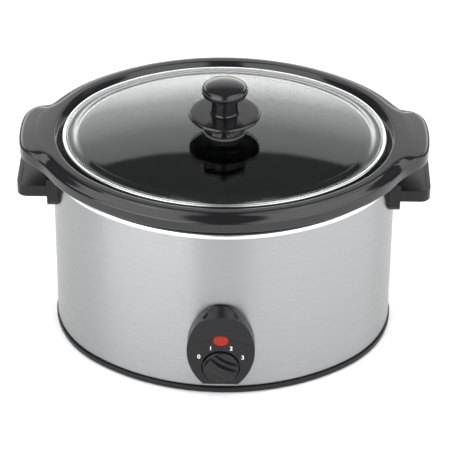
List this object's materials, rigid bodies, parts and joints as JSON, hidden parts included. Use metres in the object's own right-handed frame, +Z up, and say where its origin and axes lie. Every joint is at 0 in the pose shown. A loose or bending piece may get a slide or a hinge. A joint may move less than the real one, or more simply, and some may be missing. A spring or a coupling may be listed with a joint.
{
  "type": "slow cooker",
  "caption": "Oval slow cooker with a brushed steel housing, lift-out stoneware crock, glass lid with a knob, side handles and a rotary heat dial.",
  "frame": {"origin": "middle of the cooker's footprint, on the surface that the feet stand on", "axes": "+Z up, -Y the front with the control panel, +X the cooker's right-hand handle seen from the front"},
  "size_m": [0.396, 0.305, 0.2631],
  "materials": {
    "black_plastic": "satin moulded phenolic",
    "panel_plastic": "satin gloss moulding",
    "knob_plastic": "glossy phenolic",
    "foot_rubber": "matte",
    "housing_steel": "brushed along the height",
    "liner_steel": "rolled",
    "heater_band": "dull, heat tinted",
    "spring_steel": "drawn wire",
    "fixing_steel": "zinc plated",
    "shield_aluminium": "mill finish",
    "terminal_brass": "stamped",
    "ceramic": "glazed",
    "switch_moulding": "moulded",
    "switch_shaft": "moulded",
    "lens_red": "clear red",
    "lamp_glass": "clear",
    "lead_sleeve": "silicone sleeve",
    "glazed_stoneware": "black glaze",
    "lid_glass": "clear, tempered",
    "lid_steel": "polished",
    "silicone": "translucent"
  },
  "bodies": {
    "housing": {"rubber_feet": "foot_rubber", "base_plate": "black_plastic", "outer_shell": "housing_steel", "inner_liner": "liner_steel", "heater_band": "heater_band", "band_springs": "spring_steel", "heater_tabs": "terminal_brass", "heat_shield": "shield_aluminium", "tie_stud": "fixing_steel", "tie_spacer": "fixing_steel", "tie_spring": "spring_steel", "tie_nut": "fixing_steel", "thermal_fuse": "ceramic", "fuse_clip": "fixing_steel", "left_handle": "black_plastic", "right_handle": "black_plastic", "handle_screws": "fixing_steel", "handle_washers": "fixing_steel", "panel_lower_cover": "panel_plastic", "panel_visor_cover": "panel_plastic", "panel_screws": "fixing_steel", "switch_bracket": "liner_steel", "switch_body": "switch_moulding", "switch_nut": "fixing_steel", "switch_tabs": "terminal_brass", "indicator_lens": "lens_red", "neon_lamp": "lamp_glass", "neon_holder": "switch_moulding", "terminal_block": "switch_moulding", "terminal_screws": "terminal_brass", "internal_leads": "lead_sleeve", "cord_gland": "black_plastic", "gland_nut": "black_plastic"},
    "dial": {"dial_knob": "panel_plastic", "switch_shaft": "switch_shaft", "switch_cam": "switch_moulding", "shaft_clip": "fixing_steel"},
    "crock": {"stoneware_crock": "glazed_stoneware"},
    "lid": {"lid_glass": "lid_glass", "lid_rim": "lid_steel", "knob_grip": "knob_plastic", "knob_guard": "knob_plastic", "knob_seal": "silicone", "knob_lower_seal": "silicone", "knob_washer": "lid_steel", "knob_screw": "lid_steel"}
  },
  "joints": [
    {"name": "crock_lift", "type": "slide", "parent": "housing", "child": "crock", "axis": [0, 0, 1], "range_m": [0, 0.18]},
    {"name": "lid_lift", "type": "slide", "parent": "crock", "child": "lid", "axis": [0, 0, 1], "range_m": [0, 0.12]},
    {"name": "dial_turn", "type": "hinge", "parent": "housing", "child": "dial", "pos_m": [0, -0.14, 0.0402], "axis": [0, 1, 0], "range_deg": [0, 120]}
  ]
}
